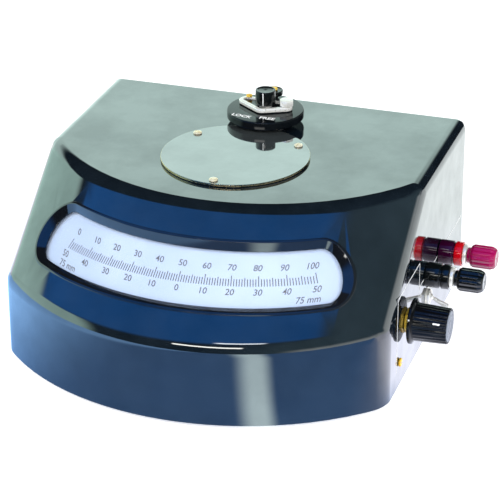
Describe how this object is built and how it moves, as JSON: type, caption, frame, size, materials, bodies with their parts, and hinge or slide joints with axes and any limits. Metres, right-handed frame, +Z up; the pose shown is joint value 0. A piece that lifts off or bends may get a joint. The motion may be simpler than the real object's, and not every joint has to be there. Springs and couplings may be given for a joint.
{
  "type": "spot reflecting galvanometer",
  "caption": "Spot reflecting galvanometer: glossy black bowed case, sloped scale window, suspension head, side terminals and range knob.",
  "frame": {"origin": "the point of the bench under the middle of the case's width and depth, level with the feet's undersides", "axes": "+Z up, +X to the side with the controls, -Y to the scale"},
  "size_m": [0.2699, 0.2337, 0.1289],
  "materials": {
    "black_moulding": "high gloss black moulding",
    "black_plastic": "gloss black",
    "red_plastic": "glossy deep red",
    "nickel": "bright nickel plating",
    "brass": "polished brass",
    "steel": "plain steel",
    "aluminium": "satin aluminium",
    "rubber": "matt black rubber",
    "glass": "clear glass",
    "scale_white": "pale blue-white translucent scale",
    "nameplate_black": "black plate with a bright edge",
    "copper": "enamelled copper wire and bronze strip",
    "silvered_glass": "silvered glass",
    "magnet_steel": "plain magnet steel and iron",
    "laminated_iron": "varnished laminations",
    "board_brown": "brown laminated board"
  },
  "bodies": {
    "galvanometer": {"case_shell": "black_moulding", "base_plate": "steel", "foot_front_left": "rubber", "foot_front_right": "rubber", "foot_back": "rubber", "foot_screw_front_left": "steel", "foot_screw_front_right": "steel", "foot_screw_back": "steel", "window_bezel": "black_moulding", "window_glass": "glass", "scale_plate": "scale_white", "nameplate": "nameplate_black", "nameplate_screw_1": "brass", "nameplate_screw_2": "brass", "nameplate_screw_3": "brass", "suspension_tube": "brass", "head_disc": "black_moulding", "rear_pillar": "black_plastic", "pillar_screw": "brass", "movement_frame": "aluminium", "magnet": "magnet_steel", "pole_piece_left": "magnet_steel", "pole_piece_right": "magnet_steel", "iron_core": "magnet_steel", "lower_suspension": "copper", "lamp_house": "black_plastic", "lamp_socket": "board_brown", "lamp_bulb": "glass", "condenser_lens": "glass", "fixed_mirror": "silvered_glass", "transformer_core": "laminated_iron", "transformer_winding": "copper", "range_switch": "board_brown", "range_nut": "brass", "black_collar": "black_plastic", "black_stud": "nickel", "red_collar": "red_plastic", "red_stud": "nickel", "toggle_body": "nickel", "toggle_nut": "nickel", "panel_screw": "brass", "supply_inlet": "black_plastic"},
    "lock_lever": {"lock_hub": "black_moulding", "lock_rim": "nickel", "lock_nut": "nickel", "lock_screw": "brass"},
    "coil_clamp": {"clamp_rod": "steel"},
    "zero_setter": {"zero_knob": "black_plastic", "zero_spindle": "brass", "upper_suspension": "copper"},
    "coil": {"moving_coil": "copper", "coil_mirror": "silvered_glass"},
    "range_selector": {"range_knob": "black_plastic", "range_knob_cap": "aluminium", "range_spindle": "steel"},
    "lamp_switch_lever": {"toggle_lever": "nickel"},
    "red_ring": {"red_clamp_ring": "nickel"},
    "red_screw_head": {"red_head": "red_plastic"},
    "black_ring": {"black_clamp_ring": "nickel"},
    "black_screw_head": {"black_head": "black_plastic"}
  },
  "joints": [
    {"name": "lock_turn", "type": "hinge", "parent": "galvanometer", "child": "lock_lever", "pos_m": [0, 0.0747, 0.1181], "axis": [0, 0, 1], "range_deg": [-28, 26]},
    {"name": "clamp_slide", "type": "slide", "parent": "galvanometer", "child": "coil_clamp", "axis": [0, 0, 1], "range_m": [-0.00146, 0.00136]},
    {"name": "zero_turn", "type": "hinge", "parent": "galvanometer", "child": "zero_setter", "pos_m": [0, 0.0747, 0.1243], "axis": [0, 0, 1], "range_deg": [-60, 60]},
    {"name": "coil_turn", "type": "hinge", "parent": "galvanometer", "child": "coil", "pos_m": [0, 0.0747, 0.0513], "axis": [0, 0, 1], "range_deg": [-8, 8], "stiffness_Nm_per_rad": 0.00002},
    {"name": "range_turn", "type": "hinge", "parent": "galvanometer", "child": "range_selector", "pos_m": [0.12, -0.0225, 0.0374], "axis": [1, 0, 0], "range_deg": [-60, 60]},
    {"name": "toggle_rock", "type": "hinge", "parent": "galvanometer", "child": "lamp_switch_lever", "pos_m": [0.119, 0.0262, 0.0292], "axis": [0, -1, 0], "range_deg": [0, 50]},
    {"name": "red_slide", "type": "slide", "parent": "galvanometer", "child": "red_ring", "axis": [1, 0, 0], "range_m": [0, 0.0028]},
    {"name": "red_turn", "type": "hinge", "parent": "red_ring", "child": "red_screw_head", "pos_m": [0.135, 0.0564, 0.045], "axis": [1, 0, 0], "range_deg": [0, 1440]},
    {"name": "black_slide", "type": "slide", "parent": "galvanometer", "child": "black_ring", "axis": [1, 0, 0], "range_m": [0, 0.0028]},
    {"name": "black_turn", "type": "hinge", "parent": "black_ring", "child": "black_screw_head", "pos_m": [0.135, 0.0237, 0.045], "axis": [1, 0, 0], "range_deg": [0, 1440]}
  ],
  "couplings": [
    {"joint": "lock_turn", "follows": "clamp_slide", "rad_per_m": 333.3},
    {"joint": "red_turn", "follows": "red_slide", "rad_per_m": 8975.9},
    {"joint": "black_turn", "follows": "black_slide", "rad_per_m": 8975.9}
  ]
}
